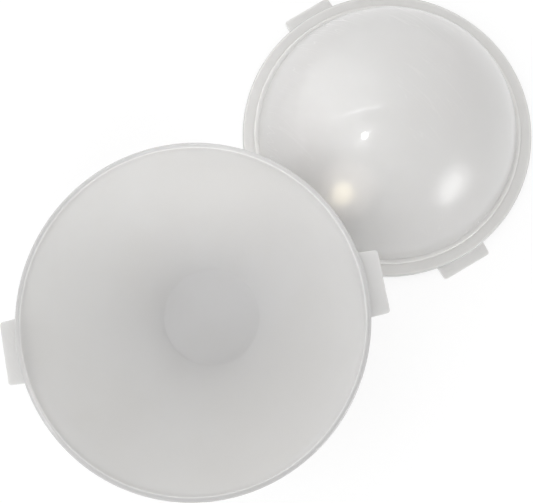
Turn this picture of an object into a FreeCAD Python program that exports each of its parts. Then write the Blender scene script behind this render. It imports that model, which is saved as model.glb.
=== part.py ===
import FreeCAD, Part
import math
import os

# A lettuce keeper: two moulded half shells, a bowl that stands on its foot and a domed
# lid that snaps over the bowl's rim. Each has two flat tabs to pull them apart by.
# The bowl stands at the origin with its foot at Z = 0. The lid is off, and lies dome up
# beside the bowl, tucked in a little under the bowl's rim. All sizes are in millimetres.

# Bowl
RIM_RADIUS = 100.0          # outside of the bead round the rim
BOWL_HEIGHT = 95.0
FOOT_RADIUS = 34.0
BOWL_WALL = 1.6
BEAD_STEP = 1.6             # how far the bead stands out from the wall
BEAD_HEIGHT = 4.5

# Lid
LID_HEIGHT = 80.0
LID_WALL = 1.5
BAND_WIDTH = 8.4            # flat rim from the skirt's outside to the shoulder
SHOULDER_HEIGHT = 1.8       # low step that the dome stands on
SHOULDER_WIDTH = 3.4
PLUG_DEPTH = 2.2            # how far the ring inside the bowl's mouth hangs below the channel
SNAP_DROP = 1.4             # how far the skirt reaches below the bead when it is closed
SNAP_REACH = 0.5            # the ridge inside the skirt that catches under the bead
SNAP_HEIGHT = 1.0

# Pull tabs, alike on both halves
TAB_REACH = 110.0           # from the axis to the tab's straight outer edge
TAB_WIDTH = 36.0            # at the outer edge
TAB_FLARE = 3.5             # degrees by which each side opens towards the rim
TAB_THICKNESS = 1.5
TAB_CORNER = 1.8
TAB_EDGE_BREAK = 0.3

# Rounded edges of the half sections
BEAD_ROUND = 1.1
FOOT_ROUND = 4.0
CHANNEL_ROUND = 1.6
SHOULDER_ROUND = 1.0
SHOULDER_FOOT_ROUND = 0.6
PLUG_ROUND = 0.5

# Clearances between the halves when the lid is on
RIM_CLEARANCE = 0.3
TAB_CLEARANCE = 0.5

# The lid's place beside the bowl
LID_GAP = 16.6              # between the bowl's side and the dome, where they come nearest
LID_BEARING = 46.4          # degrees from +X
BOWL_TAB_ANGLE = 10.8       # degrees from +X, with the second tab opposite
LID_TAB_ANGLE = -59.4

UP = FreeCAD.Vector(0, 0, 1)
AXIS_POINT = FreeCAD.Vector(0, 0, 0)


def sphere_centre(low_radius, low_z, high_radius, high_z):
    """Height on the axis of the sphere that holds both of these level circles."""
    return (high_radius**2 - low_radius**2 + high_z**2 - low_z**2) / (2 * (high_z - low_z))


def radius_at(sphere_radius, centre_z, z):
    return math.sqrt(sphere_radius**2 - (z - centre_z)**2)


# Rim of the bowl
bead_base = BOWL_HEIGHT - BEAD_HEIGHT
wall_top_radius = RIM_RADIUS - BEAD_STEP
side_centre = sphere_centre(FOOT_RADIUS, 0, wall_top_radius, bead_base)
side_radius = math.hypot(FOOT_RADIUS, side_centre)
bowl_inside_radius = side_radius - BOWL_WALL
mouth_radius = radius_at(bowl_inside_radius, side_centre, bead_base)
bowl_tab_top = bead_base - SNAP_DROP - TAB_CLEARANCE

# Rim of the lid, from the bowl's rim outwards and inwards
skirt_inside = RIM_RADIUS + RIM_CLEARANCE
skirt_outside = skirt_inside + LID_WALL
plug_outside = mouth_radius - RIM_CLEARANCE
plug_inside = plug_outside - LID_WALL
channel_ceiling = SNAP_DROP + BEAD_HEIGHT + RIM_CLEARANCE
channel_top = channel_ceiling + LID_WALL
plug_end = channel_ceiling - PLUG_DEPTH

# Dome of the lid, one sphere from its shoulder to its crown
shoulder_radius = skirt_outside - BAND_WIDTH
shoulder_top = channel_top + SHOULDER_HEIGHT
dome_base_radius = shoulder_radius - SHOULDER_WIDTH
dome_rise = LID_HEIGHT - shoulder_top
dome_radius = (dome_base_radius**2 + dome_rise**2) / (2 * dome_rise)
dome_centre = LID_HEIGHT - dome_radius
dome_inside_radius = dome_radius - LID_WALL
dome_mouth_radius = radius_at(dome_inside_radius, dome_centre, shoulder_top - LID_WALL)

# Where the lid lies: the two spheres keep LID_GAP between them
centre_distance = side_radius + dome_radius + LID_GAP
lid_distance = math.sqrt(centre_distance**2 - (side_centre - dome_centre)**2)


def at(radius, z):
    """A point of a half section, drawn in the XZ plane."""
    return FreeCAD.Vector(radius, 0, z)


def sphere_arc(sphere_radius, centre_z, start, end):
    """Arc of a sphere about the axis, from one point of the half section to another."""
    first = math.atan2(start.z - centre_z, start.x)
    last = math.atan2(end.z - centre_z, end.x)
    middle = (first + last) / 2
    halfway = at(sphere_radius * math.cos(middle), centre_z + sphere_radius * math.sin(middle))
    return Part.Arc(start, halfway, end).toShape()


def chain(points):
    """Straight edges through these points, in order."""
    return [Part.makeLine(start, end) for start, end in zip(points, points[1:])]


def turned(edges):
    """The solid of revolution of a closed half section."""
    return Part.Face(Part.Wire(edges)).revolve(AXIS_POINT, UP, 360)


def rounded(solid, corner, fillet):
    """The solid with the edge that runs round the axis through this corner rounded."""
    found = []
    for edge in solid.Edges:
        curve = None if edge.Degenerated else edge.Curve
        if isinstance(curve, Part.Circle) and abs(curve.Axis.z) > 0.99:
            if at(curve.Radius, curve.Center.z).isEqual(corner, 1e-4):
                found.append(edge)
    return solid.makeFillet(fillet, found)


def tab_plate(angle, underside, root_radius):
    """One flat tab that starts inside the rim's wall and points along the angle."""
    flare = math.tan(math.radians(TAB_FLARE))
    tip_half = TAB_WIDTH / 2
    root_half = tip_half + flare * TAB_REACH
    corners = [
        FreeCAD.Vector(0, -root_half, underside),
        FreeCAD.Vector(TAB_REACH, -tip_half, underside),
        FreeCAD.Vector(TAB_REACH, tip_half, underside),
        FreeCAD.Vector(0, root_half, underside),
    ]
    outline = Part.makePolygon(corners + corners[:1])
    plate = Part.Face(outline).extrude(UP * TAB_THICKNESS)
    upright_tips = [edge for edge in plate.Edges if is_upright_tip(edge)]
    plate = plate.makeFillet(TAB_CORNER, upright_tips)
    rims = [edge for edge in plate.Edges if is_level(edge) and edge.CenterOfMass.x > 1]
    plate = plate.makeChamfer(TAB_EDGE_BREAK, rims)
    inside = Part.makeCylinder(root_radius, TAB_THICKNESS, FreeCAD.Vector(0, 0, underside))
    plate = plate.cut(inside)
    plate.rotate(AXIS_POINT, UP, angle)
    return plate


def is_upright_tip(edge):
    centre = edge.CenterOfMass
    upright = abs(edge.tangentAt(edge.FirstParameter).z) > 0.99
    return upright and centre.x > TAB_REACH - 1


def is_level(edge):
    ends = [vertex.Point.z for vertex in edge.Vertexes]
    return abs(ends[0] - ends[-1]) < 1e-6


def with_tabs(shell, angle, underside, root_radius):
    pair = [tab_plate(angle + turn, underside, root_radius) for turn in (0, 180)]
    return shell.fuse(pair).removeSplitter()


def bowl_shell():
    """Foot, spherical side and the bead that the lid snaps over."""
    foot_edge = at(FOOT_RADIUS, 0)
    wall_top = at(wall_top_radius, bead_base)
    bead_top = at(RIM_RADIUS, BOWL_HEIGHT)
    mouth = at(mouth_radius, BOWL_HEIGHT)
    mouth_land = at(mouth_radius, bead_base)
    floor_edge = at(radius_at(bowl_inside_radius, side_centre, BOWL_WALL), BOWL_WALL)
    shell = turned([
        *chain([floor_edge, at(0, BOWL_WALL), at(0, 0), foot_edge]),
        sphere_arc(side_radius, side_centre, foot_edge, wall_top),
        *chain([wall_top, at(RIM_RADIUS, bead_base), bead_top, mouth, mouth_land]),
        sphere_arc(bowl_inside_radius, side_centre, mouth_land, floor_edge),
    ])
    for corner in (foot_edge, floor_edge):
        shell = rounded(shell, corner, FOOT_ROUND)
    for corner in (bead_top, mouth):
        shell = rounded(shell, corner, BEAD_ROUND)
    return shell


def lid_shell():
    """Dome on its shoulder, flat rim, and under it the channel, plug ring and snap ridge."""
    crown = at(0, LID_HEIGHT)
    crown_inside = at(0, LID_HEIGHT - LID_WALL)
    dome_foot = at(dome_base_radius, shoulder_top)
    dome_foot_inside = at(dome_mouth_radius, shoulder_top - LID_WALL)
    shoulder_edge = at(shoulder_radius, shoulder_top)
    shoulder_foot = at(shoulder_radius, channel_top)
    channel_outer = at(skirt_outside, channel_top)
    snap_ridge = [
        at(skirt_inside - SNAP_REACH, 0),
        at(skirt_inside - SNAP_REACH, SNAP_HEIGHT / 2),
        at(skirt_inside, SNAP_HEIGHT),
    ]
    ceiling = [at(skirt_inside, channel_ceiling), at(plug_outside, channel_ceiling)]
    plug_ends = [at(plug_outside, plug_end), at(plug_inside, plug_end)]
    under_shoulder = [
        at(plug_inside, channel_ceiling),
        at(shoulder_radius - LID_WALL, channel_ceiling),
        at(shoulder_radius - LID_WALL, shoulder_top - LID_WALL),
    ]
    shell = turned([
        sphere_arc(dome_radius, dome_centre, crown, dome_foot),
        *chain([dome_foot, shoulder_edge, shoulder_foot, channel_outer]),
        *chain([channel_outer, at(skirt_outside, 0), *snap_ridge, *ceiling]),
        *chain([ceiling[-1], *plug_ends, *under_shoulder, dome_foot_inside]),
        sphere_arc(dome_inside_radius, dome_centre, dome_foot_inside, crown_inside),
        Part.makeLine(crown_inside, crown),
    ])
    for corner in plug_ends:
        shell = rounded(shell, corner, PLUG_ROUND)
    for corner in (dome_foot, shoulder_edge):
        shell = rounded(shell, corner, SHOULDER_ROUND)
    shell = rounded(shell, shoulder_foot, SHOULDER_FOOT_ROUND)
    return rounded(shell, channel_outer, CHANNEL_ROUND)


def bowl():
    middle_of_wall = wall_top_radius - BOWL_WALL / 2
    return with_tabs(bowl_shell(), BOWL_TAB_ANGLE, bowl_tab_top - TAB_THICKNESS, middle_of_wall)


def lid():
    """The lid, laid beside the bowl on the edge of its skirt."""
    middle_of_skirt = skirt_inside + LID_WALL / 2
    shape = with_tabs(lid_shell(), LID_TAB_ANGLE, 0, middle_of_skirt)
    bearing = math.radians(LID_BEARING)
    shape.translate(FreeCAD.Vector(math.cos(bearing), math.sin(bearing), 0) * lid_distance)
    return shape


os.makedirs("parts", exist_ok=True)
for name, shape in (("bowl", bowl()), ("lid", lid())):
    shape.exportStep("parts/" + name + ".step")
    print(name, shape.isValid(), len(shape.Solids), round(shape.Volume), shape.BoundBox)
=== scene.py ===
import math

import bmesh
import bpy
from mathutils import Matrix, Vector


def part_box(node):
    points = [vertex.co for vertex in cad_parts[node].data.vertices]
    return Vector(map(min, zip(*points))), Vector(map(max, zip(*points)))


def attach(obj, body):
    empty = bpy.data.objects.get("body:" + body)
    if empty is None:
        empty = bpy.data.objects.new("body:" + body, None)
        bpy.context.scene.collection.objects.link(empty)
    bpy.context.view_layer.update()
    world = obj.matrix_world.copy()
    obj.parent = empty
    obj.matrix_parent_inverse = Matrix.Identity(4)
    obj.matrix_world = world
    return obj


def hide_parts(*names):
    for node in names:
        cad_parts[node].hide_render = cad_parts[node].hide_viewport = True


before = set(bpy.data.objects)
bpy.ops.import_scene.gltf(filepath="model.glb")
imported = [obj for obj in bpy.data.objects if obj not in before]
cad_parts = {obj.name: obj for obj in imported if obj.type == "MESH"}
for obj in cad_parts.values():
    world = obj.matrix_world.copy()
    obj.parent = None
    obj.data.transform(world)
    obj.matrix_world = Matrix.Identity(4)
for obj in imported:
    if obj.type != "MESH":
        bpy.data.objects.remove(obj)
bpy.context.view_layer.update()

# A round keeper of milky plastic: a bowl that stands on its foot, and its domed lid, taken
# off and laid beside it. Each is one moulding that stands for its solid. Lengths are metres.
MM = 0.001

# Read from the frame
bowl_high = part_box("bowl")[1]
lid_low, lid_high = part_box("lid")
LID_PLACE = Vector((lid_low.x + lid_high.x, lid_low.y + lid_high.y, 0)) / 2
RIM_RADIUS = bowl_high.y
BOWL_HEIGHT = bowl_high.z
SKIRT_OUTSIDE = (lid_high.x - lid_low.x) / 2
LID_HEIGHT = lid_high.z

# Walls and rims, as in the solids
FOOT_RADIUS = 34 * MM
BOWL_WALL = 1.6 * MM
BEAD_STEP = 1.6 * MM
BEAD_HEIGHT = 4.5 * MM
LID_WALL = 1.5 * MM
RIM_CLEARANCE = 0.3 * MM
BAND_WIDTH = 8.4 * MM
SHOULDER_HEIGHT = 1.8 * MM
SHOULDER_WIDTH = 3.4 * MM
PLUG_DEPTH = 2.2 * MM
SNAP_DROP = 1.4 * MM
SNAP_REACH = 0.5 * MM
SNAP_HEIGHT = 1.0 * MM

# Pull tabs
TAB_REACH = 110 * MM
TAB_WIDTH = 36 * MM
TAB_FLARE = math.radians(3.5)        # by which each side opens towards the rim
TAB_THICKNESS = 1.5 * MM
TAB_CLEARANCE = 0.5 * MM
BOWL_TAB_ANGLE = math.radians(10.8)  # from +X
LID_TAB_ANGLE = math.radians(-59.4)

# Rounded edges
BEAD_ROUND = 1.1 * MM
FOOT_ROUND = 4 * MM
CHANNEL_ROUND = 1.6 * MM
SHOULDER_ROUND = 1.0 * MM
SHOULDER_FOOT_ROUND = 0.6 * MM
PLUG_ROUND = 0.5 * MM
TAB_CORNER = 1.8 * MM
TAB_EDGE_ROUND = 0.35 * MM

# Fineness of the mesh
TURN_STEPS = 240                     # round the axis
WALL_STEPS = 54                      # along a wall, from its foot to its rim or crown
ROUND_STEPS = 5                      # round a corner of a section
TAB_EDGE_STEPS = 2
MERGE = 0.001 * MM                   # points nearer than this are one point
CLOSE = 0.01 * MM                    # places nearer than this are the same place
WALL_NEAR = 0.3 * MM                 # a face's middle lies this near the round wall it is on
CORNER_NEAR = 0.1 * MM               # a tab's side leans a little, as the wall it comes from
SHARP = math.radians(60)             # an edge that bends more than this is rounded

# Milky plastic
BOWL_MILKY = (0.646, 0.642, 0.639, 1)
BOWL_CLOUD = (0.630, 0.624, 0.618, 1)
LID_MILKY = (0.664, 0.656, 0.640, 1)
LID_CLOUD = (0.656, 0.642, 0.627, 1)
BOWL_RIM_PAINTED_SHADE = (0.86, 0.86, 0.86, 1)   # painted shade: what the bead and tabs keep of the colour
BEAD_TOP_PAINTED_SHADE = (0.84, 0.84, 0.845, 1)  # painted shade on the top of the bead, once more
LID_LOW_PAINTED_SHADE = (0.95, 0.95, 0.95, 1)      # painted shade: what the lower side of the dome and the rim keep
LID_BAND_PAINTED_LIGHT = (1.13, 1.13, 1.12, 1)     # painted light on the flat rim, once more, against the shade that the dome throws on it
LID_EDGE_PAINTED_SHADE = (0.70, 0.71, 0.72, 1)     # painted shade on the skirt, seen edge on
PLASTIC_IOR = 1.49
SCATTER = (5.2 * MM, 5.2 * MM, 5 * MM)  # how far light spreads inside the plastic
OUTSIDE_ROUGHNESS = 0.3
INSIDE_ROUGHNESS = 0.36
WALL_MIDDLE_BLUR = 0.1 * MM          # over which the outside's finish turns to the inside's
POLISH = 0.6                         # share of the outside that is a sharp gloss over the satin
POLISH_ROUGHNESS = 0.06

# Unevenness of the plastic. A scale counts the patches in a metre, and a range says between
# which values of the noise a patch comes in.
CLOUD_SCALE = 14
CLOUD_RANGE = (0.35, 0.65)
SMEAR_SCALE = 60
SMEAR_RANGE = (0.35, 0.7)
SMEAR_ROUGHNESS = 0.05
WAVE_SCALE = 22
WAVE_HEIGHT = 1.2 * MM
WAVE_STRENGTH = 0.25
SCRATCH_SCALE = 16
SCRATCH_RANGE = (0.48, 0.56)
SCRATCH_SIZE = (60 * MM, 5 * MM, 60 * MM)
SCRATCH_TURN = math.radians(-47)     # from +X
SCRATCH_LINE = (0.004, 0.014)        # off the noise's middle value, from a line to beside it

# Camera, fitted to the photograph: two rims and eight tab corners
PHOTO_WIDTH = 533                    # pixels
FOCAL_LENGTH = 635                   # pixels
SENSOR_WIDTH = 36                    # mm
CAMERA_PLACE = Vector((0.0541, 0.0018, 0.449))
CAMERA_LEAN_X = -1.96                # degrees off straight down, towards +X
CAMERA_LEAN_Y = 5.67                 # degrees off straight down, towards +Y
CLIP_START = 10 * MM

# Room
FLOOR_HALF = 4.0
FLOOR_GAP = 0.1 * MM                 # below the foot
FLOOR_COLOUR = (0.6, 0.6, 0.6, 1)
FLOOR_SHADOW = 0.3                   # share of the floor's white that a shadow can take away
WORLD_LEVEL = 0.9
DOME_AIM = LID_PLACE + Vector((0, 0, 50 * MM))  # what the lamps face


def sphere_centre(low_radius, low_z, high_radius, high_z):
    """Height on the axis of the sphere that holds both of these level circles."""
    return (high_radius**2 - low_radius**2 + high_z**2 - low_z**2) / (2 * (high_z - low_z))


def radius_at(sphere_radius, centre_z, z):
    return math.sqrt(sphere_radius**2 - (z - centre_z)**2)


# Side and rim of the bowl
bead_base = BOWL_HEIGHT - BEAD_HEIGHT
wall_top = RIM_RADIUS - BEAD_STEP
side_centre = sphere_centre(FOOT_RADIUS, 0, wall_top, bead_base)
side_outside = math.hypot(FOOT_RADIUS, side_centre)
side_inside = side_outside - BOWL_WALL
mouth = radius_at(side_inside, side_centre, bead_base)
bowl_tab_top = bead_base - SNAP_DROP - TAB_CLEARANCE
bowl_tab_low = bowl_tab_top - TAB_THICKNESS

# Rim of the lid, from the bowl's rim outwards and inwards
skirt_inside = SKIRT_OUTSIDE - LID_WALL
plug_outside = mouth - RIM_CLEARANCE
plug_inside = plug_outside - LID_WALL
channel_ceiling = SNAP_DROP + BEAD_HEIGHT + RIM_CLEARANCE
channel_top = channel_ceiling + LID_WALL
plug_end = channel_ceiling - PLUG_DEPTH

# Shoulder and dome of the lid
shoulder = SKIRT_OUTSIDE - BAND_WIDTH
shoulder_inside = shoulder - LID_WALL
shoulder_top = channel_top + SHOULDER_HEIGHT
dome_foot = shoulder - SHOULDER_WIDTH
dome_rise = LID_HEIGHT - shoulder_top
dome_outside = (dome_foot**2 + dome_rise**2) / (2 * dome_rise)
dome_centre = LID_HEIGHT - dome_outside
dome_inside = dome_outside - LID_WALL


class Field:
    """A value that varies over a surface. Sums and products of fields add their Math nodes."""

    def __init__(self, finish, socket):
        self.finish = finish
        self.socket = socket

    def __add__(self, other):
        return self.finish.maths("ADD", self, other)

    def __radd__(self, other):
        return self.finish.maths("ADD", other, self)

    def __sub__(self, other):
        return self.finish.maths("SUBTRACT", self, other)

    def __rsub__(self, other):
        return self.finish.maths("SUBTRACT", other, self)

    def __mul__(self, other):
        return self.finish.maths("MULTIPLY", self, other)

    def __rmul__(self, other):
        return self.finish.maths("MULTIPLY", other, self)


class Finish:
    """A material, or the world, as a node tree that fields are written in."""

    def __init__(self, owner):
        owner.use_nodes = True
        self.owner = owner
        self.tree = owner.node_tree

    def add(self, kind, settings=None, inputs=None, output=0):
        """Adds one node: settings first, then the values or links of its sockets."""
        node = self.tree.nodes.new(kind)
        for name, value in (settings or {}).items():
            setattr(node, name, value)
        self.feed(node, inputs or {})
        return Field(self, node.outputs[output])

    def feed(self, node, inputs):
        for name, value in inputs.items():
            if isinstance(value, Field):
                self.tree.links.new(value.socket, node.inputs[name])
            else:
                node.inputs[name].default_value = value

    def maths(self, operation, *values):
        return self.add("ShaderNodeMath", {"operation": operation}, dict(enumerate(values)))

    def vectors(self, operation, first, second, output):
        settings = {"operation": operation}
        return self.add("ShaderNodeVectorMath", settings, {0: first, 1: second}, output)

    def where(self):
        return self.add("ShaderNodeTexCoord", output="Object")

    def ramp(self, value, low, high):
        """0 below low, 1 above high, and a smooth step between them."""
        settings = {"interpolation_type": "SMOOTHSTEP"}
        inputs = {"Value": value, "From Min": low, "From Max": high}
        return self.add("ShaderNodeMapRange", settings, inputs)

    def noise(self, scale, detail, place=None):
        inputs = {"Vector": place or self.where(), "Scale": scale, "Detail": detail}
        return self.add("ShaderNodeTexNoise", None, inputs, "Fac")

    def scratches(self):
        """Thin lines that run one way, in patches: 1 on a line and 0 beside it."""
        inputs = {"Vector": self.where(), "Rotation": (0, 0, SCRATCH_TURN), "Scale": SCRATCH_SIZE}
        stretched = self.add("ShaderNodeMapping", {"vector_type": "TEXTURE"}, inputs)
        # A line runs wherever the stretched noise passes through its middle value
        off_middle = self.maths("ABSOLUTE", self.noise(1, 1, stretched) - 0.5)
        line = 1 - self.ramp(off_middle, *SCRATCH_LINE)
        return line * self.ramp(self.noise(SCRATCH_SCALE, 1), *SCRATCH_RANGE)

    def blend(self, share, first, second):
        """A colour between two."""
        settings = {"data_type": "RGBA"}
        return self.add("ShaderNodeMix", settings, {0: share, 6: first, 7: second}, 2)

    def tint(self, share, colour, by):
        """The colour multiplied by another, as far as the share goes."""
        settings = {"data_type": "RGBA", "blend_type": "MULTIPLY"}
        return self.add("ShaderNodeMix", settings, {0: share, 6: colour, 7: by}, 2)

    def around_and_up(self, place):
        """Distance from the upright axis through this place, and height above it."""
        from_place = self.vectors("SUBTRACT", self.where(), Vector(place), "Vector")
        x, y, z = (
            self.add("ShaderNodeSeparateXYZ", None, {"Vector": from_place}, axis) for axis in "XYZ"
        )
        return self.maths("SQRT", x * x + y * y), z


class Section:
    """The outline of half a wall in the XZ plane, from the axis round and back to the axis."""

    def __init__(self, radius, z):
        self.mesh = bmesh.new()
        self.last = self.mesh.verts.new((radius, 0, z))
        self.corners = []

    def line(self, radius, z, rounding=0):
        point = self.mesh.verts.new((radius, 0, z))
        self.mesh.edges.new((self.last, point))
        return self.reach(point, rounding)

    def arc(self, centre_z, radius, z, rounding=0, steps=WALL_STEPS):
        """A stretch of a sphere about this centre, as far as this radius and height."""
        start = math.atan2(self.last.co.z - centre_z, self.last.co.x)
        end = math.atan2(z - centre_z, radius)
        swept = bmesh.ops.spin(
            self.mesh, geom=[self.last], cent=(0, 0, centre_z), axis=(0, 1, 0),
            angle=start - end, steps=steps,
        )
        return self.reach(swept["geom_last"][0], rounding)

    def reach(self, point, rounding):
        if rounding:
            self.corners.append((point, rounding))
        self.last = point
        return self

    def turned(self):
        """Rounds the corners and turns the outline round the axis, as one closed shell."""
        mesh = self.mesh
        for point, rounding in self.corners:
            ways = [edge.other_vert(point).co - point.co for edge in point.link_edges]
            bend = math.pi - ways[0].angle(ways[1])
            round_off(mesh, [point], rounding * math.tan(bend / 2), ROUND_STEPS, "VERTICES")
        bmesh.ops.spin(
            mesh, geom=mesh.verts[:] + mesh.edges[:], cent=(0, 0, 0), axis=(0, 0, 1),
            angle=2 * math.pi, steps=TURN_STEPS, use_merge=True,
        )
        bmesh.ops.remove_doubles(mesh, verts=mesh.verts[:], dist=MERGE)
        bmesh.ops.recalc_face_normals(mesh, faces=mesh.faces[:])
        return mesh


def round_off(mesh, geom, offset, segments, affect="EDGES"):
    bmesh.ops.bevel(
        mesh, geom=geom, offset=offset, offset_type="OFFSET", segments=segments,
        profile=0.5, affect=affect, material=-1,
    )


def rotate(mesh, verts, angle):
    """Turns these vertices about the upright axis through the origin."""
    bmesh.ops.rotate(mesh, verts=verts, cent=(0, 0, 0), matrix=Matrix.Rotation(angle, 3, "Z"))


def tab_root(wall_radius):
    """Half the angle that a tab takes up on a round wall."""
    half_line = TAB_WIDTH / 2 * math.cos(TAB_FLARE) + TAB_REACH * math.sin(TAB_FLARE)
    return math.asin(half_line / wall_radius) - TAB_FLARE


def pull_tab(mesh, side, wall_radius, underside):
    """Draws one flat tab out of the wall, towards +X (side 1) or -X (side -1)."""
    half = tab_root(wall_radius)

    def out(point):
        return point.x * side

    def bearing(point):
        return math.atan2(point.y, out(point))

    # Move the nearest columns of the wall to where the tab's two sides meet it
    step = 2 * math.pi / TURN_STEPS
    column = round(half / step) * step
    for sign in (1, -1):
        verts = [v for v in mesh.verts if out(v.co) > 0]
        verts = [v for v in verts if abs(bearing(v.co) - sign * column) < step / 2]
        rotate(mesh, verts, side * sign * (half - column))

    # Draw the faces between these columns out to the tip
    root = []
    for face in mesh.faces:
        middle = face.calc_center_median()
        on_wall = abs(math.hypot(middle.x, middle.y) - wall_radius) < WALL_NEAR
        level = underside < middle.z < underside + TAB_THICKNESS
        if on_wall and level and abs(bearing(middle)) < half:
            root.append(face)
    drawn = bmesh.ops.extrude_face_region(mesh, geom=root)["geom"]
    bmesh.ops.delete(mesh, geom=root, context="FACES")
    tip = [thing for thing in drawn if isinstance(thing, bmesh.types.BMVert)]
    narrowing = TAB_WIDTH / 2 / (wall_radius * math.sin(half))
    bmesh.ops.scale(mesh, vec=(0, narrowing, 1), verts=tip)
    bmesh.ops.translate(mesh, vec=(side * TAB_REACH, 0, 0), verts=tip)

    # Round the tip's two corners, and then every edge of the tab
    def at_corner(point):
        on_side = abs(abs(point.y) - TAB_WIDTH / 2) < CORNER_NEAR
        return on_side and abs(out(point) - TAB_REACH) < CLOSE

    corners = [edge for edge in mesh.edges if all(at_corner(v.co) for v in edge.verts)]
    round_off(mesh, corners, TAB_CORNER, ROUND_STEPS)

    def on_tab(point):
        level = underside - CLOSE < point.z < underside + TAB_THICKNESS + CLOSE
        return level and out(point) > wall_radius * math.cos(half) - CLOSE

    edges = [
        edge for edge in mesh.edges
        if edge.calc_face_angle(0) > SHARP
        and all(on_tab(v.co) for v in edge.verts)
        and max(out(v.co) for v in edge.verts) > wall_radius + WALL_NEAR
    ]
    round_off(mesh, edges, TAB_EDGE_ROUND, TAB_EDGE_STEPS)


def moulding(name, mesh, tab_angle, place, node, material):
    """Finishes one half: turned by its tabs' angle, put in its place, standing for its solid."""
    rotate(mesh, mesh.verts[:], tab_angle)
    bmesh.ops.translate(mesh, vec=place, verts=mesh.verts[:])
    data = bpy.data.meshes.new(name)
    mesh.to_mesh(data)
    mesh.free()
    data.shade_smooth()
    data.materials.append(material)
    piece = bpy.data.objects.new(name, data)
    bpy.context.scene.collection.objects.link(piece)
    even = piece.modifiers.new("even_shading", "WEIGHTED_NORMAL")
    even.keep_sharp = True
    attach(piece, node)
    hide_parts(node)


def bowl():
    """Deep shell with a flat foot, a bead round its rim, and two pull tabs under the bead."""
    tab_wall = radius_at(side_outside, side_centre, bowl_tab_low)
    tab_wall_top = radius_at(side_outside, side_centre, bowl_tab_top)
    shell = Section(0, 0).line(FOOT_RADIUS, 0, FOOT_ROUND)
    shell.arc(side_centre, tab_wall, bowl_tab_low)
    shell.arc(side_centre, tab_wall_top, bowl_tab_top, steps=1)
    shell.arc(side_centre, wall_top, bead_base, steps=1).line(RIM_RADIUS, bead_base)
    shell.line(RIM_RADIUS, BOWL_HEIGHT, BEAD_ROUND).line(mouth, BOWL_HEIGHT, BEAD_ROUND)
    shell.line(mouth, bead_base)
    shell.arc(side_centre, radius_at(side_inside, side_centre, BOWL_WALL), BOWL_WALL, FOOT_ROUND)
    mesh = shell.line(0, BOWL_WALL).turned()
    for side in (1, -1):
        pull_tab(mesh, side, tab_wall, bowl_tab_low)
    finish, shader, colour = milky_plastic(
        "milky_bowl", Vector((0, 0, side_centre)), (side_outside + side_inside) / 2,
        BOWL_MILKY, BOWL_CLOUD,
    )

    # Painted shade on the bead and tabs: the rim begins just outside the mouth and the shade at the
    # tabs' underside, and the top of the bead is shaded once more
    around, up = finish.around_and_up((0, 0, 0))
    rim = finish.ramp(around, mouth + 0.1 * MM, mouth + 0.9 * MM)
    rim_shade_mask = rim * finish.ramp(up, bowl_tab_low - 1 * MM, bowl_tab_low)
    bead = rim * finish.ramp(up, bead_base, BOWL_HEIGHT - BEAD_ROUND)
    colour = finish.tint(rim_shade_mask, colour, BOWL_RIM_PAINTED_SHADE)
    # Painted shade on the top of the bead
    finish.feed(shader, {"Base Color": finish.tint(bead, colour, BEAD_TOP_PAINTED_SHADE)})
    moulding("bowl_moulding", mesh, BOWL_TAB_ANGLE, (0, 0, 0), "bowl", finish.owner)


def lid():
    """Dome on its shoulder, flat rim over the channel, plug ring, snap ridge, and two pull tabs."""
    shell = Section(0, LID_HEIGHT).arc(dome_centre, dome_foot, shoulder_top, SHOULDER_ROUND)
    shell.line(shoulder, shoulder_top, SHOULDER_ROUND)
    shell.line(shoulder, channel_top, SHOULDER_FOOT_ROUND)
    shell.line(SKIRT_OUTSIDE, channel_top, CHANNEL_ROUND)
    shell.line(SKIRT_OUTSIDE, TAB_THICKNESS).line(SKIRT_OUTSIDE, 0)
    shell.line(skirt_inside - SNAP_REACH, 0).line(skirt_inside - SNAP_REACH, SNAP_HEIGHT / 2)
    shell.line(skirt_inside, SNAP_HEIGHT)
    shell.line(skirt_inside, channel_ceiling).line(plug_outside, channel_ceiling)
    shell.line(plug_outside, plug_end, PLUG_ROUND).line(plug_inside, plug_end, PLUG_ROUND)
    shell.line(plug_inside, channel_ceiling).line(shoulder_inside, channel_ceiling)
    shell.line(shoulder_inside, shoulder_top - LID_WALL)
    dome_mouth = radius_at(dome_inside, dome_centre, shoulder_top - LID_WALL)
    shell.line(dome_mouth, shoulder_top - LID_WALL)
    mesh = shell.arc(dome_centre, 0, LID_HEIGHT - LID_WALL).turned()
    for side in (1, -1):
        pull_tab(mesh, side, SKIRT_OUTSIDE, 0)
    finish, shader, colour = milky_plastic(
        "milky_lid", LID_PLACE + Vector((0, 0, dome_centre)), (dome_outside + dome_inside) / 2,
        LID_MILKY, LID_CLOUD,
    )

    # Painted shade on the lower side of the dome and the rim, painted light on the band, which
    # begins at the dome's foot, and painted shade on the edge, which is the skirt without the tabs
    # beyond it.
    around, up = finish.around_and_up(LID_PLACE)
    low = 1 - finish.ramp(up, shoulder_top, 6 * shoulder_top)
    band_light_mask = finish.ramp(around, dome_foot - 0.5 * MM, dome_foot + 0.8 * MM)
    edge = finish.ramp(around, SKIRT_OUTSIDE - 1.6 * MM, SKIRT_OUTSIDE - 0.4 * MM)
    edge = edge * (1 - finish.ramp(around, SKIRT_OUTSIDE + 0.1 * MM, SKIRT_OUTSIDE + 0.4 * MM))
    colour = finish.tint(low, colour, LID_LOW_PAINTED_SHADE)
    # Painted light on the flat band
    colour = finish.tint(band_light_mask, colour, LID_BAND_PAINTED_LIGHT)
    # Painted shade on the skirt's edge
    finish.feed(shader, {"Base Color": finish.tint(edge, colour, LID_EDGE_PAINTED_SHADE)})
    moulding("lid_moulding", mesh, LID_TAB_ANGLE, LID_PLACE, "lid", finish.owner)


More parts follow.
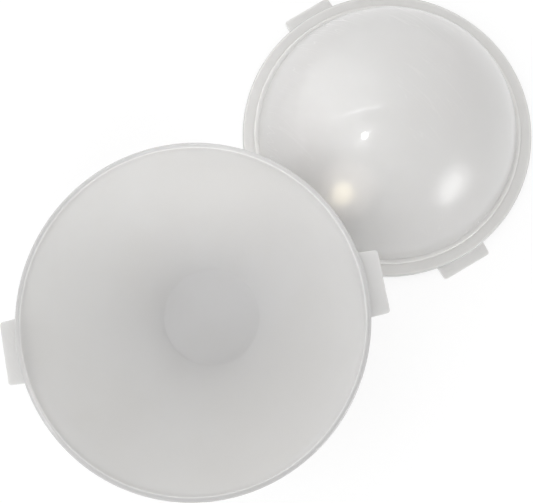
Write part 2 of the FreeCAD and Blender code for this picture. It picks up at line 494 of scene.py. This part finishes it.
def milky_plastic(name, centre, middle_of_wall, milky, clouded):
    """Translucent polypropylene for one shell, polished outside its sphere and satin inside.

    Returns the finish, its shader and the colour, for the painted shade and light on the rim.
    """
    finish = Finish(bpy.data.materials.new(name))
    shader = finish.tree.nodes["Principled BSDF"]
    from_centre = finish.vectors("DISTANCE", finish.where(), centre, "Value")
    outside = finish.ramp(
        from_centre, middle_of_wall - WALL_MIDDLE_BLUR, middle_of_wall + WALL_MIDDLE_BLUR
    )
    cloud = finish.ramp(finish.noise(CLOUD_SCALE, 3), *CLOUD_RANGE)
    colour = finish.blend(cloud, milky, clouded)
    smears = finish.ramp(finish.noise(SMEAR_SCALE, 4), *SMEAR_RANGE)
    satin = INSIDE_ROUGHNESS - outside * (INSIDE_ROUGHNESS - OUTSIDE_ROUGHNESS)
    waves = {
        "Height": finish.noise(WAVE_SCALE, 1),
        "Strength": WAVE_STRENGTH,
        "Distance": WAVE_HEIGHT,
    }
    finish.feed(shader, {
        "Base Color": colour,
        "Roughness": satin + smears * SMEAR_ROUGHNESS,
        "IOR": PLASTIC_IOR,
        "Subsurface Weight": 1.0,
        "Subsurface Radius": SCATTER,
        "Subsurface Scale": 1.0,
        "Coat Weight": outside * POLISH * (1 - finish.scratches()),
        "Coat Roughness": POLISH_ROUGHNESS,
        "Normal": finish.add("ShaderNodeBump", None, waves),
    })
    return finish, shader, colour


def floor():
    """White where it is seen, with the object's shadow, and clear from below."""
    bpy.ops.mesh.primitive_plane_add(size=2 * FLOOR_HALF, location=(0, 0, -FLOOR_GAP))
    plane = bpy.context.object
    plane.name = "floor"
    finish = Finish(bpy.data.materials.new("white_floor"))
    finish.tree.nodes.remove(finish.tree.nodes["Principled BSDF"])
    bounce = finish.add("ShaderNodeBsdfDiffuse", None, {"Color": FLOOR_COLOUR})
    shaded = finish.add("ShaderNodeBsdfDiffuse", None, {"Color": (FLOOR_SHADOW,) * 3 + (1,)})
    glow = finish.add("ShaderNodeEmission", None, {"Strength": 1 - FLOOR_SHADOW})
    white = finish.add("ShaderNodeAddShader", None, {0: shaded, 1: glow})
    top = finish.add("ShaderNodeMixShader", None, {0: seen(finish), 1: bounce, 2: white})
    clear = finish.add("ShaderNodeBsdfTransparent")
    below = finish.add("ShaderNodeNewGeometry", output="Backfacing")
    surface = finish.add("ShaderNodeMixShader", None, {0: below, 1: top, 2: clear})
    finish.feed(finish.tree.nodes["Material Output"], {"Surface": surface})
    plane.data.materials.append(finish.owner)


def seen(finish):
    """1 for rays that show the background, straight or in a reflection."""
    camera, glossy, through = (
        finish.add("ShaderNodeLightPath", output=name)
        for name in ("Is Camera Ray", "Is Glossy Ray", "Is Transmission Ray")
    )
    return finish.maths("MINIMUM", camera + glossy + through, 1)


def white_room():
    world = bpy.data.worlds.new("white_room")
    bpy.context.scene.world = world
    finish = Finish(world)
    camera_ray = finish.add("ShaderNodeLightPath", output="Is Camera Ray")
    finish.feed(finish.tree.nodes["Background"], {
        "Color": (1, 1, 1, 1),
        "Strength": WORLD_LEVEL + camera_ray * (1 - WORLD_LEVEL),
    })


def lamp(name, direction, distance, size, radiance, shape="RECTANGLE", upright=(0, 0, 1),
         diffuse=False, glossy=True):
    """A flat lamp that faces the dome, its height along upright. A radiance of 1 is white.

    Most are seen only in the polish, so diffuse and glossy say what each one lights.
    """
    width, height = size
    data = bpy.data.lights.new(name, "AREA")
    data.shape = shape
    data.size = width
    data.size_y = height
    area = width * height * (math.pi / 4 if shape == "ELLIPSE" else 1)
    data.energy = radiance * math.pi * area
    away = Vector(direction).normalized()
    across = Vector(upright).cross(away).normalized()
    axes = Matrix((across, away.cross(across), away)).transposed().to_4x4()
    thing = bpy.data.objects.new(name, data)
    thing.matrix_world = Matrix.Translation(DOME_AIM + away * distance) @ axes
    thing.visible_diffuse = diffuse
    thing.visible_glossy = glossy
    bpy.context.scene.collection.objects.link(thing)


def spot(name, place, aim, cone, energy, colour=(1, 1, 1), size=2 * MM):
    """A soft spot with its light on one place only. The cone is in degrees."""
    data = bpy.data.lights.new(name, "SPOT")
    data.energy = energy
    data.color = colour
    data.spot_size = math.radians(cone)
    data.spot_blend = 1
    data.shadow_soft_size = size
    thing = bpy.data.objects.new(name, data)
    thing.location = place
    thing.rotation_mode = "QUATERNION"
    thing.rotation_quaternion = (Vector(aim) - Vector(place)).to_track_quat("-Z", "Y")
    thing.visible_glossy = False
    bpy.context.scene.collection.objects.link(thing)


def lights():
    """Two large soft panels, the windows that the polished dome mirrors, and soft spots."""
    lamp("soft_panel", (-0.78, 0.30, 0.55), 1.4, (2.2, 1.8), 0.48, diffuse=True)
    lamp("front_panel", (0.05, -0.85, 0.55), 1.4, (2.0, 1.4), 0.55, diffuse=True, glossy=False)

    # A large window: the light above its lower line, and the line
    above_line = (-0.15, 0.93, -0.33)
    lamp("window_wall", (-0.16, 0.79, 0.59), 1.54, (5.0, 2.65), 0.4, upright=above_line)
    along_line = (-0.02, 0.97, -0.25)
    lamp("window_sill", (-0.47, 0.18, 0.86), 1.4, (1.2, 0.03), 6, upright=along_line)

    # A small bright window with its bar
    rising = (0.65, 0.64, 0.4)
    lamp("small_window", (-0.39, -0.19, 0.90), 1.3, (0.12, 0.15), 34, "ELLIPSE", rising)
    lamp("window_bar", (-0.40, -0.22, 0.89), 1.35, (0.07, 0.50), 5, "ELLIPSE", rising)

    # A window to the right, brightest in the middle
    right = (0.77, -0.61, 0.21)
    leaning = (0.29, 0.71, 0.64)
    lamp("right_window", right, 1.2, (0.75, 0.80), 0.4, "ELLIPSE", leaning)
    lamp("right_window_middle", right, 1.18, (0.66, 0.66), 1.4, "ELLIPSE", leaning)
    core = (0.75, -0.63, 0.21)
    lamp("right_window_core", core, 1.16, (0.36, 0.44), 2.8, "ELLIPSE", leaning)

    # What the room throws on one place each
    over = (0.15, 0.0, 1.1)
    spot("warm_spot", over, (0.090, 0.079, 0.054), 2.4, 13, (1, 0.93, 0.87))
    spot("warm_core", over, (0.088, 0.077, 0.054), 0.36, 30, (1, 0.90, 0.60))
    spot("rim_fill", over, (0.088, 0.072, 0.04), 5.5, 5, size=60 * MM)
    spot("dome_fill", (-0.15, 0.25, 1.1), (0.047, 0.100, 0.03), 10, 15, size=60 * MM)
    spot("bowl_spot", (0.35, -0.8, 0.75), (-0.02, 0.09, 0.07), 9, 9, size=40 * MM)


def camera():
    lean_x = math.sin(math.radians(CAMERA_LEAN_X))
    lean_y = math.sin(math.radians(CAMERA_LEAN_Y))
    forward = Vector((lean_x, lean_y, -math.sqrt(1 - lean_x**2 - lean_y**2)))
    up = (Vector((0, 1, 0)) - forward * forward.y).normalized()
    right = forward.cross(up)
    data = bpy.data.cameras.new("camera")
    data.sensor_width = SENSOR_WIDTH
    data.lens = FOCAL_LENGTH * SENSOR_WIDTH / PHOTO_WIDTH
    data.clip_start = CLIP_START
    thing = bpy.data.objects.new("camera", data)
    axes = Matrix((right, up, -forward)).transposed().to_4x4()
    thing.matrix_world = Matrix.Translation(CAMERA_PLACE) @ axes
    bpy.context.scene.collection.objects.link(thing)
    bpy.context.scene.camera = thing


bowl()
lid()
floor()
white_room()
lights()
camera()
bpy.context.scene.view_settings.view_transform = "Standard"
